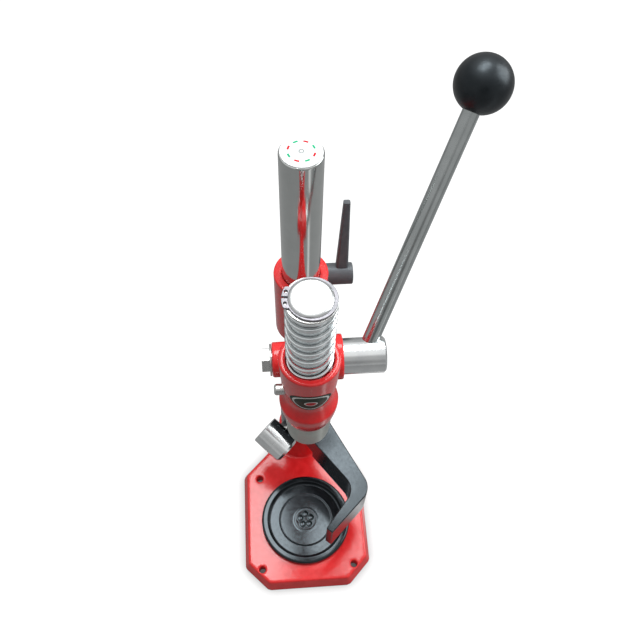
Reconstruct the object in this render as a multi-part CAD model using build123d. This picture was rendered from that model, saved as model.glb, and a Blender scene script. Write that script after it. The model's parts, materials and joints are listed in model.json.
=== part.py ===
from build123d import *
from math import acos, atan2, cos, degrees, pi, radians, sin, sqrt, tan
import os

# Bench-mounted crown cap bottle capper, in millimetres, +Z up.
# The origin lies on the plunger's axis, in the plane of the bench under the base.
# +X is the side of the hand lever and +Y runs back from the plunger to the column.
# A rise or a drop is a height above or below the piece that its comment names.

# Clearances
run_gap = 0.05
seat_gap = 0.3
bolt_gap = 0.3

# Base casting
base_top = 18.0
base_half_width = 74.0
base_front = 75.0
base_back_corner = 65.0
base_chamfer = 25.0
base_corner_r = 4.0
base_flare = 5.5
base_edge_r = 2.0
base_wall = 8.0
base_plate = 7.0
rib_thickness = 6.0
rib_pitch = 50.0
hole_spacing_x = 115.0
hole_spacing_y = 117.0
hole_r = 4.25
hole_boss_r = 10.0
dish_boss_r = 14.0
dish_boss_thickness = 11.0

# Column and its socket, whose heights are above the base's top
column_y = 117.0
column_r = 17.5
column_wall = 3.0
column_top = 558.0
column_chamfer = 1.0
socket_height = 52.0
socket_wall = 10.45
socket_flare = 3.0
socket_edge_r = 2.5
socket_foot_edge_r = 1.7
socket_ledge = 4.0
foot_plug_length = 24.0
top_plug_length = 20.0
top_disc_margin = 1.1
top_disc_thickness = 0.8
top_disc_chamfer = 0.3
column_bolt_r = 6.0
column_bolt_length = 26.0
column_bolt_head = 7.5
column_bolt_flats = 19.0
column_washer_r = 12.0
column_washer_thickness = 2.5
column_bolt_recess = 11.0
column_bolt_recess_r = 14.0
set_screw_r = 4.0
set_screw_rise = 28.0
set_screw_length = 10.0
set_screw_socket = 4.0

# Bottle dish
dish_r = 56.3
dish_height = 8.0
dish_rim_width = 7.8
dish_wall_run = 2.5
dish_floor_thickness = 3.0
dish_step_r = 32.0
dish_step = 0.6
dish_step_run = 2.5
dish_outer_edge_r = 3.0
dish_inner_edge_r = 0.8
dish_spigot_r = 19.7
dish_spigot_depth = 4.0
dish_lobes = 5
dish_lobe_r = 2.8
dish_lobe_ring_r = 6.5
dish_lobe_height = 0.8
dish_screw_r = 3.0
dish_screw_head_r = 5.5
dish_screw_head = 3.3
dish_screw_edge_r = 1.0
dish_screw_thread = 5.0
dish_screw_slot_length = 6.0
dish_screw_slot_width = 1.2
dish_screw_slot_depth = 1.2

# Cross bore for the pinion shaft
shaft_z = 410.0
right_boss_wall = 4.85
right_boss_face = 29.7
left_boss_wall = 4.95
left_boss_face = 29.6

# Head casting: the barrel's outline, as walls outside its bores and as heights from the shaft
cup_wall = 5.6
cup_rise = 48.0
cup_edge_r = 1.2
cup_base_wall = 3.9
cup_base_rise = 14.0
waist_wall = 4.35
waist_top_drop = 4.0
waist_bottom_drop = 10.0
neck_mid_swell = 1.5
neck_mid_drop = 15.4
bulge_swell = 4.9
bulge_drop = 22.0
belly_mid_inset = 1.1
belly_mid_drop = 34.5
barrel_foot_wall = 4.95
barrel_foot_drop = 49.0
spring_seat_rise = 20.0

# Clamp that holds the head on the column
clamp_wall = 7.75
clamp_top_drop = 3.0
clamp_height = 90.0
clamp_slot = 3.0
clamp_screw_back = 32.0
clamp_screw_rise = 39.5
ear_r = 15.0
ear_half_width = 14.0

# Web between the barrel and the clamp: distances back, and lips to the clamp's ends
web_half_width = 11.0
web_edge_r = 4.0
web_front = 10.0
web_crest = 35.5
web_saddle = 51.5
web_top_lip = 2.0
web_bottom_lip = 4.0
web_knee = 89.0
web_throat = 39.5
web_throat_drop = 4.0
web_front_rise = 6.0

# Plunger with its rack
plunger_r = 16.0
plunger_rise = 132.3
plunger_edge_run = 4.0
plunger_edge_drop = 1.6
plunger_shoulder = 6.0
plunger_spigot = 15.0
key_slot_depth = 3.2
key_slot_half_width = 3.1
key_slot_margin = 2.0

# Rack and pinion
gear_module = 2.5
pinion_teeth = 10
pressure_angle = radians(25.0)
addendum = 0.8 * gear_module
dedendum = 1.0 * gear_module
backlash = 0.35
rack_inset = 3.0
pinion_face = 25.0
rack_gaps_below = 2
rack_gaps_above = 6
lever_turn_angle = radians(150.0)
tooth_foot_overlap = 1.0
flank_steps = 3

# Pinion shaft, hub and lever
journal_step = 0.1
left_journal_r = 10.0
hub_step = 0.9
hub_end = 66.0
hub_chamfer = 1.5
hub_core = 2.5
shaft_bolt_r = 6.0
shaft_bolt_length = 22.0
shaft_bolt_head = 6.6
shaft_bolt_flats = 19.0
shaft_bolt_angle = 31.5
shaft_washer_r = 13.6
shaft_washer_thickness = 1.6
rod_inset = 18.0
rod_r = 7.0
rod_lean_angle = 22.4
rod_back_angle = 36.4
rod_depth = 8.0
ball_distance = 233.8
ball_r = 22.5
ball_flat_margin = 0.54
ball_bore_depth = 18.0

# Return spring and its stop
spring_wire_r = 1.25
spring_wire_sides = 8
spring_play = 0.3
spring_pitch = 11.6
circlip_drop = 3.7
circlip_thickness = 1.8
circlip_groove = 0.7
circlip_width = 1.6
circlip_offset = 0.8
circlip_angle = -6.0
circlip_lug_reach = 4.3
circlip_lug_half_width = 8.8
circlip_lug_edge_r = 1.8
circlip_gap = 1.4
circlip_hole_r = 1.2
circlip_hole_out = 1.4
circlip_hole_side = 4.8
spring_washer_width = 2.8
spring_washer_thickness = 1.5

# Guide screw that keys the plunger
guide_screw_drop = 5.0
guide_screw_r = 4.0
guide_screw_tip_r = 3.0
guide_screw_head_r = 4.8
guide_screw_head = 8.4
guide_screw_dome = 2.2
guide_screw_socket = 4.0
guide_screw_socket_depth = 3.0
guide_screw_spot = 0.6

# Crown bell
bell_wall = 4.4
bell_height = 32.7
bell_skirt_height = 17.0
bell_skirt_step = 0.5
bell_mouth_step = 0.7
bell_throat_r = 14.4
bell_lead_in = 2.2
bell_throat_depth = 12.0
magnet_r = 8.0
magnet_thickness = 4.0
magnet_screw_r = 2.0
magnet_screw_head_r = 3.8
magnet_screw_length = 14.0
magnet_screw_socket = 2.5
magnet_screw_socket_depth = 1.4

# Clamp lever and its bolt
clamp_bolt_r = 5.0
clamp_bolt_flats = 17.0
clamp_bolt_head = 6.4
clamp_washer_r = 10.0
clamp_washer_thickness = 1.5
lever_hub_r = 11.0
lever_hub_end = 53.5
lever_hub_edge_r = 1.5
lever_hub_cap = 7.5
lever_arm_inset = 11.3
lever_arm_length = 84.5
lever_arm_angle = 15.8
lever_arm_drift = 3.4
lever_arm_width = 13.0
lever_arm_tip_width = 6.5
lever_arm_thickness = 10.0
lever_arm_tip_thickness = 7.0
lever_arm_edge_r = 2.5
lever_arm_tip_edge_r = 2.0

# Bottle guide on the column, whose heights are above the socket and its own underside
guide_lift = 10.0
guide_collar_height = 60.0
guide_collar_wall = 7.65
guide_arm_rise = 10.0
guide_root_rise = 15.0
guide_root_reach = 40.5
bottle_r = 44.0
guide_back_angle = 36.3
guide_tip_angle = -39.7
guide_inner_r = 19.0
guide_outer_back_angle = 26.1
guide_back_width = 22.5
guide_outer_tip_angle = -46.2
guide_tip_width = 10.8
guide_outer_r = 20.5
guide_tip_reach = 22.5
guide_tip_r = 1.5
guide_edge_r = 1.2
guide_stud_angle = 227.3
guide_stud_rise = 15.0
guide_stud_r = 5.0
guide_stud_boss_r = 9.5
guide_stud_boss = 2.3
guide_pad_r = 4.6
guide_pad_thickness = 2.0

# Cross knob on the guide's stud
cross_knob_r = 18.6
cross_knob_length = 40.4
cross_knob_gap = 2.2
cross_knob_tilt_angle = -18.2
cross_knob_chamfer = 3.0
cross_knob_far_chamfer = 0.8
cross_knob_ring_width = 1.2
cross_knob_ring_depth = 0.5
cross_knob_stud_depth = 28.0

# Radii and depths that follow
plunger_bore_r = plunger_r + run_gap
column_bore_r = column_r + run_gap
plug_r = column_r - column_wall - run_gap
socket_top_r = column_bore_r + socket_wall
socket_foot_r = socket_top_r + socket_flare
top_disc_r = column_r - top_disc_margin
clamp_r = column_bore_r + clamp_wall
pitch_r = gear_module * pinion_teeth / 2
journal_r = pitch_r + addendum + journal_step
cross_bore_r = journal_r + run_gap
right_boss_r = cross_bore_r + right_boss_wall
left_boss_r = left_journal_r + run_gap + left_boss_wall
hub_r = journal_r + hub_step
spring_outer_r = plunger_r + spring_play + 2 * spring_wire_r
spring_r = spring_outer_r - spring_wire_r
spring_recess_r = spring_outer_r + seat_gap
cup_r = spring_recess_r + cup_wall
cup_base_r = spring_recess_r + cup_base_wall
waist_r = plunger_bore_r + waist_wall
neck_mid_r = waist_r + neck_mid_swell
bulge_r = waist_r + bulge_swell
belly_mid_r = bulge_r - belly_mid_inset
barrel_foot_r = plunger_bore_r + barrel_foot_wall
plunger_spigot_r = plunger_r - plunger_shoulder
bell_r = plunger_r + bell_wall
bell_skirt_r = bell_r - bell_skirt_step
bell_mouth_r = bell_skirt_r - bell_mouth_step
circlip_outer_r = plunger_r + circlip_width
circlip_lug_r = plunger_r + circlip_lug_reach
circlip_hole_x = plunger_r + circlip_hole_out
spring_washer_r = plunger_r + spring_washer_width
dish_rim_inner_r = dish_r - dish_rim_width
dish_floor_r = dish_rim_inner_r - dish_wall_run
ball_flat = sqrt(ball_r ** 2 - (rod_r + ball_flat_margin) ** 2)
guide_collar_r = column_bore_r + guide_collar_wall
guide_stud_boss_end = guide_collar_r + guide_stud_boss
guide_outer_back = bottle_r + guide_back_width
guide_outer_tip = bottle_r + guide_tip_width
cross_knob_distance = guide_stud_boss_end + cross_knob_gap + cross_knob_r

# Places that follow
tooth_pitch = pi * gear_module
stroke = pitch_r * lever_turn_angle
rack_line = plunger_r - rack_inset
shaft_y = rack_line + pitch_r
rod_x = hub_end - rod_inset
washer_face = left_boss_face + seat_gap
clamp_screw_y = column_y + clamp_screw_back
lever_arm_x = lever_hub_end - lever_arm_inset
lever_arm_tip_x = lever_arm_x + lever_arm_drift
lever_bore_end = lever_hub_end - lever_hub_cap
socket_top = base_top + socket_height
set_screw_z = base_top + set_screw_rise
dish_boss_bottom = base_top - dish_boss_thickness
dish_rim_top = base_top + dish_height
dish_floor = base_top + dish_floor_thickness
guide_bottom = socket_top + guide_lift
guide_top = guide_bottom + guide_collar_height
guide_arm_bottom = guide_bottom + guide_arm_rise
guide_root_bottom = guide_arm_bottom + guide_root_rise
guide_stud_z = guide_bottom + guide_stud_rise
cup_top = shaft_z + cup_rise
cup_base = shaft_z + cup_base_rise
waist_top = shaft_z - waist_top_drop
waist_bottom = shaft_z - waist_bottom_drop
neck_mid_z = shaft_z - neck_mid_drop
bulge_z = shaft_z - bulge_drop
belly_mid_z = shaft_z - belly_mid_drop
barrel_foot = shaft_z - barrel_foot_drop
spring_seat = shaft_z + spring_seat_rise
guide_screw_z = shaft_z - guide_screw_drop
clamp_top = shaft_z - clamp_top_drop
clamp_bottom = clamp_top - clamp_height
clamp_screw_z = clamp_bottom + clamp_screw_rise
web_back_top = clamp_top - web_top_lip
web_back_bottom = clamp_bottom + web_bottom_lip
web_throat_z = barrel_foot - web_throat_drop
web_front_bottom = barrel_foot + web_front_rise
plunger_top = shaft_z + plunger_rise
circlip_z = plunger_top - circlip_drop
spring_washer_bottom = circlip_z - spring_washer_thickness
bell_top = barrel_foot - seat_gap
bell_bottom = bell_top - bell_height
bell_step = bell_bottom + bell_skirt_height
bell_roof = bell_bottom + bell_throat_depth
bell_socket_floor = bell_top - plunger_spigot


def cylinder_z(radius, low, high, x=0.0, y=0.0):
    """Upright cylinder between two heights."""
    return Pos(x, y, low) * Cylinder(radius, high - low, align=(Align.CENTER, Align.CENTER, Align.MIN))


def cylinder_x(radius, low, high, y=0.0, z=0.0):
    """Cylinder along X between two places."""
    turned = Rot(0, 90, 0) * Cylinder(radius, high - low, align=(Align.CENTER, Align.CENTER, Align.MIN))
    return Pos(low, y, z) * turned


def along(start, direction):
    """Plane whose Z runs from start along direction."""
    return Plane(origin=start, z_dir=direction)


def rod_on(plane, radius, low, high):
    """Cylinder on a plane's Z between two distances from its origin."""
    solid = Cylinder(radius, high - low, align=(Align.CENTER, Align.CENTER, Align.MIN))
    return plane * Pos(0, 0, low) * solid


def hexagon(flats, thickness):
    """Hexagonal prism standing on Z = 0, flats apart by its spanner size."""
    return extrude(RegularPolygon(flats / 2, 6, major_radius=False), thickness)


def turned(points):
    """Solid of revolution about Z from a closed outline of (radius, height) points."""
    return revolve(Plane.XZ * make_face(Polyline(*points, close=True)), Axis.Z)


def level_edges(solid, height):
    """Edges that lie flat at one height."""
    return solid.edges().filter_by_position(Axis.Z, height - 0.01, height + 0.01)


# Base


def plate_outline(grow):
    """Plate seen from above: cut front corners, and back edges running in to the column."""
    half = base_half_width
    corner = base_front - base_chamfer
    outline = make_face(Polyline(
        (-half, base_back_corner), (-half, -corner), (-half + base_chamfer, -base_front),
        (half - base_chamfer, -base_front), (half, -corner), (half, base_back_corner),
        (0, base_back_corner + half), close=True))
    outline = fillet(outline.vertices().filter_by_position(Axis.Y, -base_front, base_back_corner), base_corner_r)
    return offset(outline, grow) if grow else outline


def hole_places():
    return GridLocations(hole_spacing_x, hole_spacing_y, 2, 2)


def underside_pocket():
    """Hollow under the plate, left between the rim, the ribs and the bosses."""
    depth = base_top - base_plate
    pocket = extrude(plate_outline(-base_wall), depth)
    pocket -= cylinder_z(socket_foot_r, 0, depth, y=column_y)
    pocket -= Pos(0, 0, depth / 2) * Box(rib_thickness, 2 * base_front + 2 * column_y, depth)
    for y in (-rib_pitch / 2, rib_pitch / 2):
        pocket -= Pos(0, y, depth / 2) * Box(2 * base_half_width, rib_thickness, depth)
    for place in hole_places():
        pocket -= place * cylinder_z(hole_boss_r, 0, depth)
    pocket -= cylinder_z(dish_boss_r, 0, depth)
    return pocket + cylinder_z(dish_boss_r, 0, dish_boss_bottom)


def base_casting():
    taper = degrees(atan2(base_flare, base_top))
    plate = extrude(plate_outline(base_flare), base_top, taper=taper)
    ledge_r = socket_foot_r + socket_ledge
    plate += Pos(0, column_y, base_top / 2) * Cone(ledge_r + base_flare, ledge_r, base_top)
    plate = fillet(level_edges(plate, base_top), base_edge_r)
    socket = turned([(0, base_top), (socket_foot_r, base_top), (socket_top_r, socket_top), (0, socket_top)])
    socket = fillet(level_edges(socket, socket_top), socket_edge_r)
    casting = plate + Pos(0, column_y, 0) * socket
    foot = casting.edges().filter_by(GeomType.CIRCLE).filter_by(
        lambda edge: abs(edge.radius - socket_foot_r) < 0.01 and abs(edge.center().Z - base_top) < 0.01)
    casting = fillet(foot, socket_foot_edge_r)
    casting -= underside_pocket()
    casting -= cylinder_z(column_bore_r, base_top, socket_top, y=column_y)
    casting -= cylinder_z(column_bolt_recess_r, 0, column_bolt_recess, y=column_y)
    casting -= cylinder_z(column_bolt_r + bolt_gap, 0, base_top, y=column_y)
    casting -= cylinder_z(dish_spigot_r + seat_gap, base_top - dish_spigot_depth - seat_gap, base_top)
    casting -= cylinder_z(dish_screw_r + bolt_gap, 0, base_top)
    for place in hole_places():
        casting -= place * cylinder_z(hole_r, 0, base_top)
    screw_line = along((0, column_y, set_screw_z), (0, 1, 0))
    return casting - rod_on(screw_line, set_screw_r + run_gap, column_r, 2 * socket_foot_r)


def set_screw():
    """Grub screw through the back of the socket, with a hexagon socket."""
    screw_line = along((0, column_y, set_screw_z), (0, 1, 0))
    tip = column_r + run_gap
    screw = rod_on(screw_line, set_screw_r, tip, tip + set_screw_length)
    return screw - screw_line * Pos(0, 0, tip + set_screw_length / 2) * hexagon(
        set_screw_socket, set_screw_length)


def bottle_dish():
    """Shallow round dish with a raised rim, a stepped floor and small lobes at its centre."""
    bottom = base_top
    solid = turned([
        (0, bottom - dish_spigot_depth), (dish_spigot_r, bottom - dish_spigot_depth),
        (dish_spigot_r, bottom), (dish_r, bottom), (dish_r, dish_rim_top), (dish_rim_inner_r, dish_rim_top),
        (dish_floor_r, dish_floor), (dish_step_r + dish_step_run, dish_floor),
        (dish_step_r, dish_floor - dish_step), (0, dish_floor - dish_step)])
    rim = level_edges(solid, dish_rim_top).sort_by(SortBy.RADIUS)
    solid = fillet(rim[-1], dish_outer_edge_r)
    solid = fillet(level_edges(solid, dish_rim_top).sort_by(SortBy.RADIUS)[0], dish_inner_edge_r)
    for place in PolarLocations(dish_lobe_ring_r, dish_lobes, start_angle=90):
        lobe = cylinder_z(dish_lobe_r, dish_floor - dish_step, dish_floor - dish_step + dish_lobe_height)
        solid += place * lobe
    bore_top = bottom - dish_spigot_depth + dish_screw_thread
    return solid - cylinder_z(dish_screw_r + run_gap, bottom - dish_spigot_depth, bore_top)


def dish_screw():
    """Pan-head screw that holds the dish from under the plate."""
    top = base_top - dish_spigot_depth + dish_screw_thread - seat_gap
    screw = cylinder_z(dish_screw_r, dish_boss_bottom, top)
    head = cylinder_z(dish_screw_head_r, dish_boss_bottom - dish_screw_head, dish_boss_bottom)
    head = fillet(level_edges(head, dish_boss_bottom - dish_screw_head), dish_screw_edge_r)
    drive = Pos(0, 0, dish_boss_bottom - dish_screw_head) * Box(
        dish_screw_slot_length, dish_screw_slot_width, 2 * dish_screw_slot_depth)
    return screw + head - drive


# Column


def column():
    tube = cylinder_z(column_r, base_top, column_top) - cylinder_z(column_r - column_wall, base_top, column_top)
    tube = chamfer(level_edges(tube, column_top).sort_by(SortBy.RADIUS)[-1], column_chamfer)
    return Pos(0, column_y, 0) * tube


def foot_plug():
    """Plug in the column's foot, drilled for the bolt that holds the column down."""
    plug = cylinder_z(plug_r, base_top, base_top + foot_plug_length, y=column_y)
    bore = cylinder_z(column_bolt_r + run_gap, base_top, base_top + foot_plug_length, y=column_y)
    return plug - bore


def top_plug():
    return cylinder_z(plug_r, column_top - top_plug_length, column_top, y=column_y)


def top_disc():
    disc = cylinder_z(top_disc_r, column_top, column_top + top_disc_thickness, y=column_y)
    return chamfer(level_edges(disc, column_top + top_disc_thickness), top_disc_chamfer)


def column_washer():
    low = column_bolt_recess - column_washer_thickness
    washer = cylinder_z(column_washer_r, low, column_bolt_recess, y=column_y)
    return washer - cylinder_z(column_bolt_r + bolt_gap, low, column_bolt_recess, y=column_y)


def column_bolt():
    seat = column_bolt_recess - column_washer_thickness
    head = Pos(0, column_y, seat - column_bolt_head) * hexagon(column_bolt_flats, column_bolt_head)
    return head + cylinder_z(column_bolt_r, seat, seat + column_bolt_length, y=column_y)


# Head


def barrel():
    """Turned outline of the head's barrel: cup on top, waist, and bulge at the foot."""
    side = Line((waist_r, waist_bottom), (waist_r, waist_top))
    side += Line((waist_r, waist_top), (cup_base_r, cup_base))
    side += Line((cup_base_r, cup_base), (cup_r, cup_top))
    side += Line((cup_r, cup_top), (0, cup_top))
    side += Line((0, cup_top), (0, barrel_foot))
    side += Line((0, barrel_foot), (barrel_foot_r, barrel_foot))
    side += ThreePointArc((barrel_foot_r, barrel_foot), (belly_mid_r, belly_mid_z), (bulge_r, bulge_z))
    side += ThreePointArc((bulge_r, bulge_z), (neck_mid_r, neck_mid_z), (waist_r, waist_bottom))
    solid = revolve(Plane.XZ * make_face(side), Axis.Z)
    return fillet(level_edges(solid, cup_top), cup_edge_r)


def web():
    """Web that carries the barrel from the column clamp, rounded along its edges."""
    outline = make_face(Polyline(
        (web_front, cup_base), (web_crest, cup_base), (web_saddle, web_back_top), (column_y, web_back_top),
        (column_y, web_back_bottom), (web_knee, web_back_bottom), (web_throat, web_throat_z),
        (web_front, web_front_bottom), close=True))
    slab = extrude(Plane.YZ * outline, web_half_width, both=True)
    return fillet(slab.edges().filter_by(Axis.X, reverse=True), web_edge_r)


def clamp_ears():
    """Two round lugs behind the column, one solid until the slot divides them."""
    lug = cylinder_x(ear_r, -ear_half_width, ear_half_width, clamp_screw_y, clamp_screw_z)
    neck_length = clamp_screw_y - column_y
    neck = Pos(0, column_y + neck_length / 2, clamp_screw_z) * Box(
        2 * ear_half_width, neck_length, 2 * ear_r)
    return lug + neck


def head_casting():
    casting = barrel() + web()
    casting += cylinder_x(right_boss_r, 0, right_boss_face, shaft_y, shaft_z)
    casting += cylinder_x(left_boss_r, -left_boss_face, 0, shaft_y, shaft_z)
    casting += cylinder_z(clamp_r, clamp_bottom, clamp_top, y=column_y)
    casting += clamp_ears()
    casting -= cylinder_z(plunger_bore_r, barrel_foot, cup_top)
    casting -= cylinder_z(spring_recess_r, spring_seat, cup_top)
    casting -= cylinder_x(cross_bore_r, -pinion_face / 2 - seat_gap, right_boss_face, shaft_y, shaft_z)
    casting -= cylinder_x(left_journal_r + run_gap, -left_boss_face, 0, shaft_y, shaft_z)
    casting -= cylinder_z(column_bore_r, clamp_bottom, clamp_top, y=column_y)
    slot_length = ear_r + clamp_screw_y - column_y
    slot_height = clamp_top - clamp_bottom
    casting -= Pos(0, column_y + slot_length / 2, clamp_bottom + slot_height / 2) * Box(
        clamp_slot, slot_length, slot_height)
    casting -= cylinder_x(clamp_bolt_r + bolt_gap, -ear_half_width, ear_half_width, clamp_screw_y, clamp_screw_z)
    casting -= cylinder_x(guide_screw_head_r + guide_screw_spot, -2 * bulge_r, -waist_r, z=guide_screw_z)
    return casting - cylinder_x(guide_screw_r + run_gap, -bulge_r, 0, z=guide_screw_z)


def guide_screw():
    """Screw through the barrel's left side, whose tip runs in the plunger's slot."""
    shoulder = -(plunger_bore_r + seat_gap)
    tip_end = -(plunger_r - key_slot_depth + seat_gap)
    head_low = -(waist_r + seat_gap)
    head_end = head_low - guide_screw_head
    screw = cylinder_x(guide_screw_tip_r, shoulder, tip_end, z=guide_screw_z)
    screw += cylinder_x(guide_screw_r, head_low, shoulder, z=guide_screw_z)
    head = cylinder_x(guide_screw_head_r, head_end, head_low, z=guide_screw_z)
    head = fillet(head.edges().filter_by(GeomType.CIRCLE).sort_by(Axis.X)[0], guide_screw_dome)
    drive = hexagon(guide_screw_socket, guide_screw_socket_depth)
    return screw + head - Pos(head_end, 0, guide_screw_z) * Rot(0, 90, 0) * drive


# Rack and pinion


def involute_angle(radius):
    """Half the angle that a pinion tooth fills at a radius."""
    base_r = pitch_r * cos(pressure_angle)
    here = acos(min(1.0, base_r / radius))
    half_at_pitch = (tooth_pitch / 2 - backlash) / (2 * pitch_r)
    return half_at_pitch + (tan(pressure_angle) - pressure_angle) - (tan(here) - here)


def tooth_point(radius, side):
    """Point on a tooth's flank, for a tooth whose middle lies on the sketch's X."""
    turn = side * involute_angle(radius)
    return (radius * cos(turn), radius * sin(turn))


def pinion_tooth():
    base_r = pitch_r * cos(pressure_angle)
    tip_r = pitch_r + addendum
    root_r = pitch_r - dedendum
    radii = [base_r + (tip_r - base_r) * step / flank_steps for step in range(flank_steps + 1)]
    upper = Spline(*[tooth_point(radius, 1) for radius in radii])
    lower = Spline(*[tooth_point(radius, -1) for radius in radii])
    half = involute_angle(base_r)
    foot_x = root_r * cos(half) - tooth_foot_overlap
    foot_up = (foot_x, root_r * sin(half))
    foot_down = (foot_x, -root_r * sin(half))
    tip = ThreePointArc(upper @ 1, (tip_r, 0), lower @ 1)
    sides = Line(foot_up, upper @ 0) + Line(lower @ 0, foot_down) + Line(foot_down, foot_up)
    return make_face(upper + tip + lower + sides)


def pinion():
    """Toothed middle of the shaft, along X, with one tooth pointing at the rack."""
    section = Circle(pitch_r - dedendum)
    for place in PolarLocations(0, pinion_teeth):
        section += place * pinion_tooth()
    gear = extrude(section, pinion_face / 2, both=True)
    return Pos(0, shaft_y, shaft_z) * Rot(0, 90, 0) * Rot(0, 0, 90) * gear


def rod_plane():
    """Lever rod's line, leaning out to the right and back from upright."""
    out = sin(radians(rod_lean_angle))
    rise = cos(radians(rod_lean_angle))
    direction = (out, rise * sin(radians(rod_back_angle)), rise * cos(radians(rod_back_angle)))
    return along((rod_x, shaft_y, shaft_z), direction)


def pinion_shaft():
    """Shaft with journals on both sides of the pinion and the lever's hub on its right end."""
    half_face = pinion_face / 2
    hub = cylinder_x(hub_r, right_boss_face + seat_gap, hub_end, shaft_y, shaft_z)
    hub = chamfer(hub.edges().filter_by(GeomType.CIRCLE).sort_by(Axis.X)[-1], hub_chamfer)
    shaft = pinion() + hub
    shaft += cylinder_x(journal_r, half_face, hub_end - hub_core, shaft_y, shaft_z)
    shaft += cylinder_x(left_journal_r, -washer_face, -half_face, shaft_y, shaft_z)
    bolt_end = -washer_face + shaft_bolt_length
    shaft -= cylinder_x(shaft_bolt_r + run_gap, -washer_face, bolt_end, shaft_y, shaft_z)
    return shaft - rod_on(rod_plane(), rod_r + run_gap, -rod_depth - seat_gap, 2 * hub_r)


def shaft_washer():
    outer = -washer_face - shaft_washer_thickness
    washer = cylinder_x(shaft_washer_r, outer, -washer_face, shaft_y, shaft_z)
    return washer - cylinder_x(shaft_bolt_r + bolt_gap, outer, -washer_face, shaft_y, shaft_z)


def shaft_bolt():
    outer = -washer_face - shaft_washer_thickness
    head = Rot(shaft_bolt_angle, 0, 0) * Rot(0, 90, 0) * hexagon(shaft_bolt_flats, shaft_bolt_head)
    head = Pos(outer - shaft_bolt_head, shaft_y, shaft_z) * head
    shank_end = outer + shaft_bolt_length
    return head + cylinder_x(shaft_bolt_r, outer, shank_end, shaft_y, shaft_z)


def lever_rod():
    return rod_on(rod_plane(), rod_r, -rod_depth, ball_distance - ball_flat + ball_bore_depth)


def ball_knob():
    """Ball with a flat where the rod enters."""
    plane = rod_plane()
    ball = plane * Pos(0, 0, ball_distance) * Sphere(ball_r)
    ball &= rod_on(plane, ball_r, ball_distance - ball_flat, ball_distance + ball_r)
    bore_end = ball_distance - ball_flat + ball_bore_depth + seat_gap
    return ball - rod_on(plane, rod_r + run_gap, ball_distance - ball_flat, bore_end)


def plunger_bar(low):
    """Round bar up to the plunger's top, whose edge curves down over a wide margin."""
    flat_r = plunger_r - plunger_edge_run
    edge_foot = plunger_top - plunger_edge_drop
    middle = (flat_r + plunger_edge_run * sin(pi / 4), edge_foot + plunger_edge_drop * cos(pi / 4))
    side = Polyline((flat_r, plunger_top), (0, plunger_top), (0, low), (plunger_r, low), (plunger_r, edge_foot))
    side += ThreePointArc((plunger_r, edge_foot), middle, (flat_r, plunger_top))
    return revolve(Plane.XZ * make_face(side), Axis.Z)


def plunger():
    """Round plunger with a rack down its back, a keyway on its left and a groove for the circlip."""
    low = bell_top + run_gap
    body = plunger_bar(low)
    body += cylinder_z(plunger_spigot_r, bell_socket_floor + seat_gap, low)
    first = shaft_z - rack_gaps_below * tooth_pitch
    last = shaft_z + rack_gaps_above * tooth_pitch
    tip_line = rack_line + addendum
    flat_depth = plunger_r
    flat_height = last - first + tooth_pitch
    body -= Pos(0, tip_line + flat_depth / 2, (first + last) / 2) * Box(
        2 * plunger_r, flat_depth, flat_height)
    gap_half = tooth_pitch / 4
    lean = tan(pressure_angle)
    root_half = gap_half - dedendum * lean
    mouth = tip_line + addendum
    mouth_half = gap_half + 2 * addendum * lean
    gap = make_face(Polyline(
        (rack_line - dedendum, -root_half), (mouth, -mouth_half), (mouth, mouth_half),
        (rack_line - dedendum, root_half), close=True))
    cutter = extrude(Plane.YZ * gap, plunger_r, both=True)
    for index in range(-rack_gaps_below, rack_gaps_above + 1):
        body -= Pos(0, 0, shaft_z + index * tooth_pitch) * cutter
    slot_low = guide_screw_z - guide_screw_tip_r - key_slot_margin
    slot_high = guide_screw_z + stroke + guide_screw_tip_r + key_slot_margin
    slot_floor = plunger_r - key_slot_depth
    body -= Pos(-slot_floor - plunger_r / 2, 0, (slot_low + slot_high) / 2) * Box(
        plunger_r, 2 * key_slot_half_width, slot_high - slot_low)
    groove = cylinder_z(2 * plunger_r, circlip_z, circlip_z + circlip_thickness)
    groove -= cylinder_z(plunger_r - circlip_groove, circlip_z, circlip_z + circlip_thickness)
    screw_bore = bell_socket_floor + seat_gap + magnet_screw_length
    body -= cylinder_z(magnet_screw_r + run_gap, bell_socket_floor, screw_bore)
    return body - groove


def circlip():
    """Open ring in the plunger's groove, wider on its right, with two drilled lugs at the gap on its left."""
    inner = plunger_r - circlip_groove + run_gap
    low = circlip_z + run_gap
    high = circlip_z + circlip_thickness - run_gap
    lugs = cylinder_z(circlip_lug_r, low, high) & Pos(-circlip_lug_r, 0, (low + high) / 2) * Box(
        circlip_lug_r, 2 * circlip_lug_half_width, high - low)
    corners = lugs.edges().filter_by(Axis.Z).sort_by(Axis.X)[:2]
    ring = cylinder_z(circlip_outer_r, low, high, x=circlip_offset) + fillet(corners, circlip_lug_edge_r)
    ring -= cylinder_z(inner, low, high)
    ring -= Pos(-circlip_lug_r, 0, (low + high) / 2) * Box(circlip_lug_r, circlip_gap, high - low)
    for side in (-1, 1):
        ring -= cylinder_z(circlip_hole_r, low, high, x=-circlip_hole_x, y=side * circlip_hole_side)
    return Rot(0, 0, circlip_angle) * ring


def spring_washer():
    washer = cylinder_z(spring_washer_r, spring_washer_bottom, circlip_z)
    return washer - cylinder_z(plunger_r + run_gap, spring_washer_bottom, circlip_z)


def return_spring():
    """Compression spring between the cup's floor and the washer under the circlip."""
    low = spring_seat + spring_wire_r + run_gap
    high = spring_washer_bottom - spring_wire_r - run_gap
    height = high - low
    turns = round(height / spring_pitch)
    path = Helix(height / turns, height, spring_r)
    start = Plane(origin=path @ 0, z_dir=path % 0)
    wire = start * RegularPolygon(spring_wire_r, spring_wire_sides)
    coil = sweep(wire, path, is_frenet=True)
    return Pos(0, 0, low) * coil


# Crown bell


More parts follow.
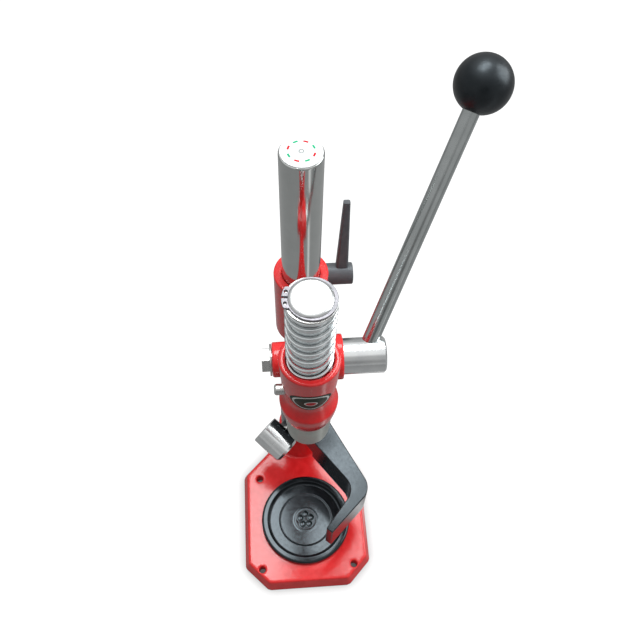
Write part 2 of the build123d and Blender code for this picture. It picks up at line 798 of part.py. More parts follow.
def crown_bell():
    """Bell that closes a crown cap: a lead-in, a throat, a roof for the magnet and a socket."""
    bore_r = plunger_spigot_r + run_gap
    return turned([
        (bell_mouth_r, bell_bottom), (bell_skirt_r, bell_step), (bell_r, bell_step), (bell_r, bell_top),
        (bore_r, bell_top), (bore_r, bell_socket_floor), (magnet_screw_r + bolt_gap, bell_socket_floor),
        (magnet_screw_r + bolt_gap, bell_roof), (bell_throat_r, bell_roof),
        (bell_throat_r, bell_bottom + bell_lead_in), (bell_throat_r + bell_lead_in, bell_bottom)])


def bell_magnet():
    """Disc magnet under the bell's roof, countersunk for its screw."""
    low = bell_roof - magnet_thickness
    sink = magnet_screw_head_r - magnet_screw_r
    return turned([
        (magnet_screw_head_r + bolt_gap, low), (magnet_r, low), (magnet_r, bell_roof),
        (magnet_screw_r + bolt_gap, bell_roof), (magnet_screw_r + bolt_gap, low + sink)])


def magnet_screw():
    """Countersunk screw through the magnet into the plunger."""
    low = bell_roof - magnet_thickness
    sink = magnet_screw_head_r - magnet_screw_r
    top = bell_socket_floor + magnet_screw_length - seat_gap
    screw = turned([(0, low), (magnet_screw_head_r, low), (magnet_screw_r, low + sink),
                    (magnet_screw_r, top), (0, top)])
    return screw - Pos(0, 0, low) * hexagon(magnet_screw_socket, magnet_screw_socket_depth)


# Clamp lever


def clamp_bolt():
    """Hexagon bolt through both ears, which the clamp lever screws on to."""
    seat = -ear_half_width - clamp_washer_thickness
    head = Pos(seat - clamp_bolt_head, clamp_screw_y, clamp_screw_z) * Rot(0, 90, 0) * hexagon(
        clamp_bolt_flats, clamp_bolt_head)
    return head + cylinder_x(clamp_bolt_r, seat, lever_bore_end - seat_gap, clamp_screw_y, clamp_screw_z)


def clamp_washers():
    """Washer under the bolt's head and washer under the clamp lever."""
    faces = (-ear_half_width - clamp_washer_thickness, ear_half_width)
    washers = []
    for face in faces:
        washer = cylinder_x(clamp_washer_r, face, face + clamp_washer_thickness, clamp_screw_y, clamp_screw_z)
        washers.append(washer - cylinder_x(
            clamp_bolt_r + bolt_gap, face, face + clamp_washer_thickness, clamp_screw_y, clamp_screw_z))
    return Compound(washers)


def clamp_lever():
    """Moulded clamp handle: a round hub and a tapering arm that leans back."""
    near = ear_half_width + clamp_washer_thickness + seat_gap
    hub = cylinder_x(lever_hub_r, near, lever_hub_end, clamp_screw_y, clamp_screw_z)
    hub = fillet(hub.edges().filter_by(GeomType.CIRCLE).sort_by(Axis.X)[-1], lever_hub_edge_r)
    back = radians(lever_arm_angle)
    arm_dir = (0, sin(back), cos(back))
    root = Plane(origin=(lever_arm_x, clamp_screw_y, clamp_screw_z), x_dir=(1, 0, 0), z_dir=arm_dir)
    tip_origin = (lever_arm_tip_x, clamp_screw_y + lever_arm_length * sin(back),
                  clamp_screw_z + lever_arm_length * cos(back))
    tip = Plane(origin=tip_origin, x_dir=(1, 0, 0), z_dir=arm_dir)
    arm = loft([
        root * RectangleRounded(lever_arm_width, lever_arm_thickness, lever_arm_edge_r),
        tip * RectangleRounded(lever_arm_tip_width, lever_arm_tip_thickness, lever_arm_tip_edge_r)], ruled=True)
    lever = hub + arm
    return lever - cylinder_x(clamp_bolt_r + run_gap, near, lever_bore_end, clamp_screw_y, clamp_screw_z)


# Bottle guide


def crossing(normal_a, offset_a, normal_b, offset_b):
    """Point where two lines meet, each given by its normal's angle and its offset."""
    ax, ay = cos(radians(normal_a)), sin(radians(normal_a))
    bx, by = cos(radians(normal_b)), sin(radians(normal_b))
    scale = ax * by - ay * bx
    return ((offset_a * by - offset_b * ay) / scale, (ax * offset_b - bx * offset_a) / scale)


def guide_outline():
    """Arm seen from above: two inner faces that touch the bottle, two outer faces, and a narrow tip."""
    inner_vertex = crossing(guide_back_angle, bottle_r, guide_tip_angle, bottle_r)
    outer_vertex = crossing(guide_outer_back_angle, guide_outer_back, guide_outer_tip_angle, guide_outer_tip)
    end_angle = guide_tip_angle - 90
    tip_inner = crossing(guide_tip_angle, bottle_r, end_angle, guide_tip_reach)
    tip_outer = crossing(guide_outer_tip_angle, guide_outer_tip, end_angle, guide_tip_reach)
    root_reach = column_y * cos(radians(guide_back_angle))
    root_inner = crossing(guide_back_angle, bottle_r, guide_back_angle + 90, root_reach)
    root_outer = crossing(guide_outer_back_angle, guide_outer_back, 90, column_y)
    side = FilletPolyline(
        root_inner, inner_vertex, tip_inner, tip_outer, outer_vertex, root_outer,
        radius=[guide_inner_r, guide_tip_r, guide_tip_r, guide_outer_r])
    closing = Polyline(root_outer, (0, column_y), root_inner)
    return make_face(side + closing)


def guide_relief():
    """Block that cuts the arm's root shallower than the rest, from a step across the inner face."""
    low = guide_arm_bottom
    size = 2 * column_y
    block = Pos(0, guide_root_reach + size / 2, (low + guide_root_bottom) / 2) * Box(
        size, size, guide_root_bottom - low)
    return Rot(0, 0, guide_back_angle) * block


def stud_plane():
    """Line of the guide's stud, level, from the column's axis out to the front left."""
    turn = radians(guide_stud_angle)
    return along((0, column_y, guide_stud_z), (cos(turn), sin(turn), 0))


def bottle_guide():
    """Collar on the column with a bent arm whose two inner faces stop the bottle on the plunger's axis."""
    arm_height = guide_top - guide_arm_bottom
    arm = extrude(Pos(0, 0, guide_arm_bottom) * guide_outline(), arm_height) - guide_relief()
    body = arm + cylinder_z(guide_collar_r, guide_bottom, guide_top, y=column_y)
    body = fillet(level_edges(body, guide_top), guide_edge_r)
    body += rod_on(stud_plane(), guide_stud_boss_r, column_r, guide_stud_boss_end)
    body -= cylinder_z(column_bore_r, guide_bottom, guide_top, y=column_y)
    return body - rod_on(stud_plane(), guide_stud_r + run_gap, column_r / 2, guide_stud_boss_end)


def guide_pad():
    """Soft pad between the stud's end and the column."""
    end = column_bore_r + guide_pad_thickness
    pad = rod_on(stud_plane(), guide_pad_r, column_r / 2, end)
    return pad - cylinder_z(column_bore_r, guide_bottom, guide_top, y=column_y)


def guide_stud():
    start = column_bore_r + guide_pad_thickness + run_gap
    return rod_on(stud_plane(), guide_stud_r, start, cross_knob_distance - cross_knob_r + cross_knob_stud_depth)


def knob_plane():
    """Axis of the cross knob: square to the stud and turned a little about it."""
    turn = radians(guide_stud_angle)
    tilt = radians(cross_knob_tilt_angle)
    centre = (cross_knob_distance * cos(turn), column_y + cross_knob_distance * sin(turn), guide_stud_z)
    return along(centre, (-sin(turn) * cos(tilt), cos(turn) * cos(tilt), sin(tilt)))


def cross_knob():
    """Thick round bar set across the stud, turned with a ring at its middle."""
    plane = knob_plane()
    half = cross_knob_length / 2
    bar = Cylinder(cross_knob_r, cross_knob_length)
    bar = chamfer(level_edges(bar, half), cross_knob_chamfer)
    bar = chamfer(level_edges(bar, -half), cross_knob_far_chamfer)
    ring = Cylinder(2 * cross_knob_r, cross_knob_ring_width)
    ring -= Cylinder(cross_knob_r - cross_knob_ring_depth, cross_knob_ring_width)
    knob = plane * (bar - ring)
    start = guide_stud_boss_end
    end = cross_knob_distance - cross_knob_r + cross_knob_stud_depth + seat_gap
    return knob - rod_on(stud_plane(), guide_stud_r + run_gap, start, end)


nodes = {
    "base_casting": base_casting,
    "column_set_screw": set_screw,
    "bottle_dish": bottle_dish,
    "dish_screw": dish_screw,
    "column": column,
    "column_foot_plug": foot_plug,
    "column_top_plug": top_plug,
    "column_top_disc": top_disc,
    "column_washer": column_washer,
    "column_bolt": column_bolt,
    "head_casting": head_casting,
    "guide_screw": guide_screw,
    "pinion_shaft": pinion_shaft,
    "shaft_washer": shaft_washer,
    "shaft_bolt": shaft_bolt,
    "lever_rod": lever_rod,
    "ball_knob": ball_knob,
    "plunger": plunger,
    "circlip": circlip,
    "spring_washer": spring_washer,
    "return_spring": return_spring,
    "crown_bell": crown_bell,
    "bell_magnet": bell_magnet,
    "magnet_screw": magnet_screw,
    "clamp_bolt": clamp_bolt,
    "clamp_washers": clamp_washers,
    "clamp_lever": clamp_lever,
    "bottle_guide": bottle_guide,
    "guide_pad": guide_pad,
    "guide_stud": guide_stud,
    "cross_knob": cross_knob,
}

os.makedirs("parts", exist_ok=True)
for name, make in nodes.items():
    export_step(make(), f"parts/{name}.step")
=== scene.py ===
import json
from math import cos, hypot, pi, radians, sin

import bpy
from mathutils import Matrix, Vector
from mathutils.bvhtree import BVHTree


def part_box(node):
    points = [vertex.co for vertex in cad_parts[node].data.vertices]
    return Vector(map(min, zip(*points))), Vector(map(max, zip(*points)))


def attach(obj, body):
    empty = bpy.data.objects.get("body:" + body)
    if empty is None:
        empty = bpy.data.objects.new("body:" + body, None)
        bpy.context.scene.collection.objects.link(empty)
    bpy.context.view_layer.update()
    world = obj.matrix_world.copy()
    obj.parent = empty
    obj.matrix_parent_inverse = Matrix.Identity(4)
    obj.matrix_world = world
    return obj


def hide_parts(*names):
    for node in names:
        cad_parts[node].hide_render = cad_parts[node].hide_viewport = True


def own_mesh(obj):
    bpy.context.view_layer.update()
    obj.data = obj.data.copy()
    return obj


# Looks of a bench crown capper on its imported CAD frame. Lengths are in metres.

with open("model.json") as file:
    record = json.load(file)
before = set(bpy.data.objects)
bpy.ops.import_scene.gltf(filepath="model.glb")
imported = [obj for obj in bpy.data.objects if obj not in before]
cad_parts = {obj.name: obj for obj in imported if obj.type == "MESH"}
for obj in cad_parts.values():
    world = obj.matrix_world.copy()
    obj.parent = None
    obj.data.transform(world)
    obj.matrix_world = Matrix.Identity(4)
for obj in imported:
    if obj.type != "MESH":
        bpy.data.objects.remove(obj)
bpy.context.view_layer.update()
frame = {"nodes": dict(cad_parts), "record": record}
nodes = frame["nodes"]
mm = 0.001
quarter_turn = radians(90.0)

# Camera of the photograph
camera_place = Vector((-0.022449, -0.258958, 0.934187))
camera_yaw = radians(6.380)
camera_pitch = radians(58.320)
camera_roll = radians(-2.697)
camera_lens = 39.71
camera_sensor = 36.0
camera_nearest = 10.0 * mm

# Lamps
lamp_colour = (0.96, 0.99, 1.0)
softbox_place = Vector((0.02, 0.6, 2.0))
softbox_size = (1.0, 0.66)
softbox_power = 18.5
softbox_direction = Vector((0.0, 0.0, -1.0))
softbox_turn = radians(35.0)
side_place = Vector((1.55, 0.28, 1.45))
side_target = Vector((0.03, 0.06, 0.25))
side_size = (1.3, 1.3)
side_power = 25.0

# Sky: a ceiling that leans to the back, a dim horizon and a dark side in front
horizon_strength = 0.36
ceiling_strength = 1.0
ceiling_elevation = radians(75.0)
ceiling_inner = radians(40.0)
ceiling_outer = radians(54.0)
dark_side = Vector((-0.17, -0.93, 0.29)).normalized()
dark_side_inner = radians(9.0)
dark_side_outer = radians(24.0)
dark_side_share = 0.3

# Floor, with a brighter sector in front on the right that only reflections show, a painted reflection
# streak in the metals
floor_size = 12.0
floor_drop = 0.5 * mm
floor_albedo = 0.15
floor_glow = 0.93
contact_reach = 14.0 * mm
backdrop_mirrored = 0.185
streak_from = (0.0, 117.0 * mm, 0.0)
streak_azimuth = radians(-52.0)
streak_half_width = radians(9.0)
streak_middle = 0.5
streak_gain = 5.0

# Finishes: stretches of the grain, tints of the gloss, and what each kind of skin shares
even = (1.0, 1.0, 1.0)
drawn = (1.0, 1.0, 0.05)
ground = (1.0, 1.0, 0.2)
neutral = (1.0, 1.0, 1.0)
cool = (0.8, 0.92, 1.0)
coarse_detail = 2.0
fine_detail = 3.0
noise_low = 0.35
noise_high = 0.65
enamel_tone = (0.75, 0.022, 0.024)
enamel_bright = (0.78, 0.024, 0.026)
enamel_deep = (0.7, 0.016, 0.018)
enamel_roughness = 0.15
enamel_smoothest = 0.1
enamel_roughest = 0.18
enamel_patch = 9 * mm
enamel_grain = 1.8 * mm
enamel_depth = 0.14 * mm
enamel_bump = 0.6
metal_patch = 12 * mm
metal_depth = 0.01 * mm
metal_bump = 0.4
plastic_patch = 7 * mm
plastic_bump = 0.5
ink_roughness = 0.4
ink_spread = 0.05
ink_grain = 0.8 * mm
ink_depth = 0.005 * mm
ink_wear = 0.9
ink_gloss = 0.08

# Finishes, edges and skins of the CAD pieces
slots = {part["node"]: part["material_slot"] for part in frame["record"]["subparts"]}
finishes = {**slots, "circlip": "clip_steel", "lever_rod": "rod_chrome"}
smooth_angle = radians(32.0)
flat_angle = radians(0.4)
weld_reach = 0.002 * mm
edge_bevel = 0.35 * mm
edge_sizes = {"column": 1.0 * mm, "bottle_guide": 1.7 * mm, "clamp_lever": 0.5 * mm}
edge_segments = 3
casting_voxels = {"head_casting": 0.9 * mm, "base_casting": 1.1 * mm}
casting_softness = 0.5
casting_smoothing = 7

# Return spring: round wire with closed ends
spring_wire_r = 1.25 * mm
spring_turns = 10
closed_turns = 1.0
closed_pitch = 0.45
coil_steps = 48
wire_steps = 14

# Bottle dish, measured up from the top of the base
dish_sides = 160
dish_bottom = -4.0 * mm
dish_spigot_r = 19.7 * mm
dish_under_edge = 0.4 * mm
dish_rim_top = 8.0 * mm
dish_outer_edge_r = 3.0 * mm
dish_rim_width = 7.8 * mm
dish_inner_edge_r = 0.8 * mm
dish_inner_edge_turn = radians(60.0)
dish_inner_edge_steps = 6
dish_floor_r = 45.0 * mm
dish_foot_r = 2.6 * mm
dish_foot_turn = radians(65.0)
dish_flat_margin = 0.3 * mm
dish_floor = 3.0 * mm
dish_step_r = 34.6 * mm
dish_bowl_r = 31.8 * mm
dish_bowl_edge = 2.5 * mm
dish_bowl_centre = 2.3 * mm
dish_arc_steps = 8
dish_bowl_steps = 56
dish_bead_r = 14.5 * mm
dish_bead_width = 2.2 * mm
dish_bead_height = 0.1 * mm
dish_lobes = 5
dish_lobe_ring_r = 7.0 * mm
dish_lobe_r = 4.3 * mm
dish_lobe_height = 0.5 * mm

# Plain oval label on the barrel, laid on by rays that start outside the barrel
ray_start_r = 60.0 * mm
label_middle_z = 421.5 * mm
label_half_height = 15.5 * mm
label_half_angle = radians(47.0)
label_lift = 0.12 * mm
label_sides = 96
label_rings = 30
label_inks = ("label_red", "label_white", "label_dark")
# Each band of the label by the share of the oval where it ends, and its ink
label_bands = (
    (0.22, "label_red"),
    (0.3, "label_white"),
    (0.78, "label_dark"),
    (0.87, "label_white"),
    (1.0, "label_dark"),
)

# Print on the column's top disc, with its radii as shares of the disc's radius
print_inks = ("label_green", "label_red", "label_grey")
print_lift = 0.04 * mm
print_marks = 8
print_mark_angle = radians(22.0)
print_mark_steps = 8
print_inner_r = 0.58
print_outer_r = 0.68
print_ring_inner_r = 0.07
print_ring_outer_r = 0.14
print_ring_steps = 32

# Parting line of the mould, down the front of the barrel
seam_barrel_r = 24.0 * mm
seam_half_width = 0.22 * mm
seam_height = 0.16 * mm
seam_profile = ((-1.0, 0.0), (-0.5, 1.0), (0.5, 1.0), (1.0, 0.0))
seam_low_z = 440.0 * mm
seam_high_z = 457.0 * mm
seam_steps = 24

materials = {}


def new_material(name, colour, roughness, metallic=0.0):
    """Principled material with plain values, kept by its name and ready for textures."""
    material = bpy.data.materials.new(name)
    material.use_nodes = True
    materials[name] = material
    shader = material.node_tree.nodes["Principled BSDF"]
    shader.inputs["Base Color"].default_value = (*colour, 1.0)
    shader.inputs["Roughness"].default_value = roughness
    shader.inputs["Metallic"].default_value = metallic
    return material.node_tree, shader


def place_texture(tree, stretch):
    """Place on the piece in the frame's own coordinates, stretched along its axes."""
    place = tree.nodes.new("ShaderNodeTexCoord")
    mapping = tree.nodes.new("ShaderNodeMapping")
    mapping.inputs["Scale"].default_value = stretch
    tree.links.new(place.outputs["Object"], mapping.inputs["Vector"])
    return mapping.outputs["Vector"]


def noise(tree, size, detail, stretch=even):
    """Noise whose grains are about size across."""
    texture = tree.nodes.new("ShaderNodeTexNoise")
    texture.inputs["Scale"].default_value = 1.0 / size
    texture.inputs["Detail"].default_value = detail
    tree.links.new(place_texture(tree, stretch), texture.inputs["Vector"])
    return texture.outputs["Fac"]


def ramp(tree, factor, low, high, start=noise_low, end=noise_high):
    """Number that runs from low to high while the factor runs from start to end."""
    node = tree.nodes.new("ShaderNodeMapRange")
    node.inputs["From Min"].default_value = start
    node.inputs["From Max"].default_value = end
    node.inputs["To Min"].default_value = low
    node.inputs["To Max"].default_value = high
    tree.links.new(factor, node.inputs["Value"])
    return node.outputs["Result"]


def vary_colour(tree, shader, factor, first, second):
    """Base colour that drifts between two tones."""
    mix = tree.nodes.new("ShaderNodeMix")
    mix.data_type = "RGBA"
    mix.inputs["A"].default_value = (*first, 1.0)
    mix.inputs["B"].default_value = (*second, 1.0)
    tree.links.new(factor, mix.inputs["Factor"])
    tree.links.new(mix.outputs["Result"], shader.inputs["Base Color"])


def add_bump(tree, shader, height, depth, strength):
    """Fine unevenness of a skin, from noise."""
    bump = tree.nodes.new("ShaderNodeBump")
    bump.inputs["Strength"].default_value = strength
    bump.inputs["Distance"].default_value = depth
    tree.links.new(height, bump.inputs["Height"])
    tree.links.new(bump.outputs["Normal"], shader.inputs["Normal"])


def red_enamel():
    """Glossy red paint on a casting, with a hammered, orange-peel skin."""
    tree, shader = new_material("red_enamel", enamel_tone, enamel_roughness)
    grain = noise(tree, enamel_grain, coarse_detail)
    patches = ramp(tree, noise(tree, enamel_patch, fine_detail), 0.0, 1.0)
    vary_colour(tree, shader, patches, enamel_bright, enamel_deep)
    add_bump(tree, shader, grain, enamel_depth, enamel_bump)
    tree.links.new(ramp(tree, grain, enamel_smoothest, enamel_roughest), shader.inputs["Roughness"])


def metal(name, colour, other, roughness, spread, grain_size, stretch=even):
    """Metal of two tones, whose fine grain can be drawn out along an axis."""
    tree, shader = new_material(name, colour, roughness, metallic=1.0)
    grain = noise(tree, grain_size, fine_detail, stretch)
    patches = ramp(tree, noise(tree, metal_patch, coarse_detail), 0.0, 1.0)
    vary_colour(tree, shader, patches, colour, other)
    tree.links.new(ramp(tree, grain, roughness - spread, roughness + spread), shader.inputs["Roughness"])
    add_bump(tree, shader, grain, metal_depth, metal_bump)


def plastic(name, colour, other, roughness, spread, grain_size, depth, tint=neutral):
    """Moulded plastic of two tones with a slightly uneven skin and a tint in its gloss."""
    tree, shader = new_material(name, colour, roughness)
    grain = noise(tree, grain_size, fine_detail)
    patches = ramp(tree, noise(tree, plastic_patch, coarse_detail), 0.0, 1.0)
    vary_colour(tree, shader, patches, colour, other)
    tree.links.new(ramp(tree, grain, roughness - spread, roughness + spread), shader.inputs["Roughness"])
    add_bump(tree, shader, grain, depth, plastic_bump)
    shader.inputs["Specular Tint"].default_value = (*tint, 1.0)
    return shader


def printed(name, colour):
    """Printing ink with a slightly uneven tone and little gloss."""
    worn = tuple(ink_wear * tone for tone in colour)
    shader = plastic(name, colour, worn, ink_roughness, ink_spread, ink_grain, ink_depth)
    shader.inputs["Specular IOR Level"].default_value = ink_gloss


def metal_finishes():
    """Metals, each with its two tones."""
    metal("chrome_tube", (0.55, 0.57, 0.56), (0.52, 0.54, 0.53),
          roughness=0.13, spread=0.03, grain_size=2 * mm, stretch=drawn)
    metal("chrome_parts", (0.76, 0.78, 0.78), (0.7, 0.72, 0.73),
          roughness=0.19, spread=0.03, grain_size=3 * mm)
    metal("rod_chrome", (0.5, 0.53, 0.53), (0.45, 0.48, 0.48),
          roughness=0.22, spread=0.03, grain_size=3 * mm)
    metal("plunger_steel", (0.8, 0.82, 0.82), (0.74, 0.76, 0.77),
          roughness=0.18, spread=0.02, grain_size=4 * mm, stretch=ground)
    metal("spring_steel", (0.78, 0.82, 0.83), (0.7, 0.74, 0.75),
          roughness=0.22, spread=0.03, grain_size=4 * mm)
    metal("clip_steel", (0.24, 0.23, 0.25), (0.19, 0.19, 0.2),
          roughness=0.42, spread=0.05, grain_size=1.2 * mm)
    metal("zinc_fasteners", (0.62, 0.62, 0.6), (0.55, 0.56, 0.55),
          roughness=0.3, spread=0.06, grain_size=1.0 * mm)
    metal("bell_steel", (0.47, 0.49, 0.46), (0.42, 0.44, 0.41),
          roughness=0.45, spread=0.06, grain_size=0.9 * mm)
    metal("magnet", (0.3, 0.3, 0.31), (0.25, 0.25, 0.26),
          roughness=0.35, spread=0.06, grain_size=0.8 * mm)
    metal("guide_pad", (0.7, 0.55, 0.25), (0.62, 0.48, 0.2),
          roughness=0.3, spread=0.06, grain_size=0.8 * mm)


def plastic_finishes():
    """Plastics, each with its two tones."""
    plastic("black_guide", (0.006, 0.007, 0.008), (0.009, 0.01, 0.012),
            roughness=0.2, spread=0.04, grain_size=3 * mm, depth=0.02 * mm, tint=cool)
    plastic("black_dish", (0.005, 0.006, 0.007), (0.008, 0.009, 0.011),
            roughness=0.14, spread=0.03, grain_size=4 * mm, depth=0.01 * mm, tint=cool)
    plastic("black_ball", (0.002, 0.003, 0.004), (0.004, 0.005, 0.006),
            roughness=0.34, spread=0.04, grain_size=2 * mm, depth=0.02 * mm, tint=cool)
    plastic("black_lever", (0.08, 0.085, 0.092), (0.1, 0.105, 0.112),
            roughness=0.4, spread=0.05, grain_size=1 * mm, depth=0.02 * mm, tint=cool)
    plastic("grey_plug", (0.2, 0.2, 0.2), (0.24, 0.24, 0.24),
            roughness=0.5, spread=0.05, grain_size=0.8 * mm, depth=0.02 * mm)
    plastic("white_disc", (0.85, 0.86, 0.86), (0.8, 0.81, 0.81),
            roughness=0.3, spread=0.04, grain_size=1.5 * mm, depth=0.01 * mm)


def printing_inks():
    """Inks of the barrel's label and of the print on the column's disc."""
    printed("label_dark", (0.012, 0.03, 0.018))
    printed("label_white", (0.85, 0.85, 0.83))
    printed("label_red", (0.6, 0.02, 0.03))
    printed("label_green", (0.02, 0.42, 0.2))
    printed("label_grey", (0.35, 0.37, 0.37))


def smooth_by_angle():
    """Node group that smooths faces and keeps the edges sharper than an angle."""
    group = bpy.data.node_groups.new("smooth_by_angle", "GeometryNodeTree")
    group.interface.new_socket("Geometry", in_out="INPUT", socket_type="NodeSocketGeometry")
    group.interface.new_socket("Geometry", in_out="OUTPUT", socket_type="NodeSocketGeometry")
    start = group.nodes.new("NodeGroupInput")
    end = group.nodes.new("NodeGroupOutput")
    faces = group.nodes.new("GeometryNodeSetShadeSmooth")
    edges = group.nodes.new("GeometryNodeSetShadeSmooth")
    edges.domain = "EDGE"
    edges.inputs["Shade Smooth"].default_value = False
    angle = group.nodes.new("GeometryNodeInputMeshEdgeAngle")
    sharp = group.nodes.new("FunctionNodeCompare")
    sharp.operation = "GREATER_THAN"
    sharp.inputs["B"].default_value = smooth_angle
    group.links.new(angle.outputs["Unsigned Angle"], sharp.inputs["A"])
    group.links.new(start.outputs[0], faces.inputs["Geometry"])
    group.links.new(faces.outputs["Geometry"], edges.inputs["Geometry"])
    group.links.new(sharp.outputs["Result"], edges.inputs["Selection"])
    group.links.new(edges.outputs["Geometry"], end.inputs[0])
    return group


def weld_corners(piece):
    """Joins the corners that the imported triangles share."""
    weld = piece.modifiers.new("weld", "WELD")
    weld.merge_threshold = weld_reach


def clean_edges(piece, shading, bevel):
    """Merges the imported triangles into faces, breaks the edges and sets the shading."""
    weld_corners(piece)
    flats = piece.modifiers.new("flats", "DECIMATE")
    flats.decimate_type = "DISSOLVE"
    flats.angle_limit = flat_angle
    edge = piece.modifiers.new("edges", "BEVEL")
    edge.width = bevel
    edge.segments = edge_segments
    edge.limit_method = "ANGLE"
    edge.angle_limit = smooth_angle
    piece.modifiers.new("shading", "NODES").node_group = shading
    normals = piece.modifiers.new("normals", "WEIGHTED_NORMAL")
    normals.keep_sharp = True


def cast_skin(piece, voxel):
    """Rounds every edge and corner of a casting, as sand and paint leave them."""
    weld_corners(piece)
    skin = piece.modifiers.new("skin", "REMESH")
    skin.mode = "VOXEL"
    skin.voxel_size = voxel
    skin.use_smooth_shade = True
    soft = piece.modifiers.new("soft", "SMOOTH")
    soft.factor = casting_softness
    soft.iterations = casting_smoothing


def dress_nodes():
    """Gives each CAD node its material, smooth faces and slightly broken edges."""
    shading = smooth_by_angle()
    for name, piece in nodes.items():
        piece.data.materials.clear()
        piece.data.materials.append(materials[finishes[name]])
        if name in casting_voxels:
            cast_skin(piece, casting_voxels[name])
        else:
            clean_edges(piece, shading, edge_sizes.get(name, edge_bevel))


def new_piece(name, body, slot, points, faces, inks=(), face_inks=()):
    """Smooth mesh piece that rides on a body and has its slot's finish or printed inks."""
    mesh = bpy.data.meshes.new(name)
    mesh.from_pydata(points, [], faces)
    for ink in inks or (slot,):
        mesh.materials.append(materials[ink])
    for face in mesh.polygons:
        face.use_smooth = True
        face.material_index = face_inks[face.index] if face_inks else 0
    piece = bpy.data.objects.new(name, mesh)
    bpy.context.scene.collection.objects.link(piece)
    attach(piece, body)
    return piece


def band_faces(rings, sides, closed=True):
    """Quads between rings of points that follow each other in the list."""
    faces = []
    for ring in range(rings - 1):
        near = ring * sides
        far = near + sides
        for side in range(sides if closed else sides - 1):
            after = (side + 1) % sides
            faces.append((near + side, near + after, far + after, far + side))
    return faces


def coil_points(coil_r, foot, pitch):
    """Rings of points round the wire of the coil, from its lower end to its upper end."""
    points = []
    for step in range(spring_turns * coil_steps + 1):
        turn = step / coil_steps
        closed = min(turn, closed_turns) + max(0.0, turn - (spring_turns - closed_turns))
        height = foot + pitch * (turn - closed * (1 - closed_pitch))
        outward = Vector((cos(2 * pi * turn), sin(2 * pi * turn), 0.0))
        along = Vector((-outward.y, outward.x, pitch / (2 * pi * coil_r))).normalized()
        upward = outward.cross(along)
        for corner in range(wire_steps):
            angle = 2 * pi * corner / wire_steps
            skin = cos(angle) * outward + sin(angle) * upward
            points.append(coil_r * outward + Vector((0, 0, height)) + spring_wire_r * skin)
    return points


def return_spring():
    """Coil of round wire with closed ends, in the place of the CAD coil."""
    low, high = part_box("return_spring")
    rise = high[2] - low[2] - 2 * spring_wire_r
    pitch = rise / (spring_turns - 2 * closed_turns * (1 - closed_pitch))
    points = coil_points(high[0] - spring_wire_r, low[2] + spring_wire_r, pitch)
    rings = spring_turns * coil_steps + 1
    faces = band_faces(rings, wire_steps)
    faces.append(tuple(reversed(range(wire_steps))))
    faces.append(tuple(range((rings - 1) * wire_steps, rings * wire_steps)))
    spring = new_piece("return_spring_coil", "head", "spring_steel", points, faces)
    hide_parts("return_spring")
    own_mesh(spring)


def dish_rim_outline(outer_r):
    """Radii and heights of the dish's turned outline, from its spigot over the rim to its floor."""
    edge = dish_outer_edge_r
    inner = dish_inner_edge_r
    rim_r = outer_r - dish_rim_width
    outline = [(dish_spigot_r, dish_bottom), (dish_spigot_r, 0.0)]
    outline += [(outer_r - dish_under_edge, 0.0), (outer_r, dish_under_edge)]
    for step in range(dish_arc_steps + 1):
        angle = quarter_turn * step / dish_arc_steps
        outline.append((outer_r - edge + edge * cos(angle), dish_rim_top - edge + edge * sin(angle)))
    outline.append((outer_r - edge - dish_flat_margin, dish_rim_top))
    outline.append((rim_r + inner + dish_flat_margin, dish_rim_top))
    for step in range(dish_inner_edge_steps + 1):
        angle = quarter_turn + dish_inner_edge_turn * step / dish_inner_edge_steps
        outline.append((rim_r + inner + inner * cos(angle), dish_rim_top - inner + inner * sin(angle)))
    for step in range(dish_arc_steps + 1):
        angle = dish_foot_turn * (1 - step / dish_arc_steps)
        rise = dish_foot_r * (1 - cos(angle))
        outline.append((dish_floor_r + dish_foot_r * sin(angle), dish_floor + rise))
    return outline


def dish_floor_outline():
    """Radii and heights of the dish's flat ring, its soft step and its shallow bowl."""
    outline = [(dish_floor_r - dish_flat_margin, dish_floor), (dish_step_r + dish_flat_margin, dish_floor)]
    for step in range(dish_arc_steps + 1):
        share = step / dish_arc_steps
        drop = (1 - cos(pi * share)) / 2 * (dish_floor - dish_bowl_edge)
        outline.append((dish_step_r + share * (dish_bowl_r - dish_step_r), dish_floor - drop))
    for step in range(1, dish_bowl_steps):
        share = step / dish_bowl_steps
        height = dish_bowl_edge + share * (dish_bowl_centre - dish_bowl_edge)
        outline.append((dish_bowl_r * (1 - share), height))
    return outline


def dish_relief(x, y):
    """Height of the bead and the domed lobes over the dish's bowl."""
    out = hypot(x, y)
    bead = max(0.0, 1 - ((out - dish_bead_r) / dish_bead_width) ** 2) ** 2 * dish_bead_height
    lobe = 0.0
    for count in range(dish_lobes):
        turn = quarter_turn + 2 * pi * count / dish_lobes
        away = hypot(x - dish_lobe_ring_r * cos(turn), y - dish_lobe_ring_r * sin(turn))
        lobe = max(lobe, dish_lobe_height * (1 - (away / dish_lobe_r) ** 2))
    return bead + lobe


def bottle_dish():
    """Moulded dish with a rounded rim, a stepped bowl, a bead and five domed lobes."""
    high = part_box("bottle_dish")[1]
    base_top = high[2] - dish_rim_top
    outline = dish_rim_outline(high[0]) + dish_floor_outline()
    points = []
    for radius, height in outline:
        for side in range(dish_sides):
            turn = 2 * pi * side / dish_sides
            x = radius * cos(turn)
            y = radius * sin(turn)
            relief = dish_relief(x, y) if height > 0 and radius < dish_bowl_r else 0.0
            points.append((x, y, base_top + height + relief))
    faces = band_faces(len(outline), dish_sides)
    foot = len(points)
    points.append((0.0, 0.0, base_top + dish_bottom))
    points.append((0.0, 0.0, base_top + dish_bowl_centre))
    last = (len(outline) - 1) * dish_sides
    for side in range(dish_sides):
        after = (side + 1) % dish_sides
        faces.append((foot, after, side))
        faces.append((foot + 1, last + side, last + after))
    dish = new_piece("bottle_dish_moulding", "base", "black_dish", points, faces)
    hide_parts("bottle_dish")


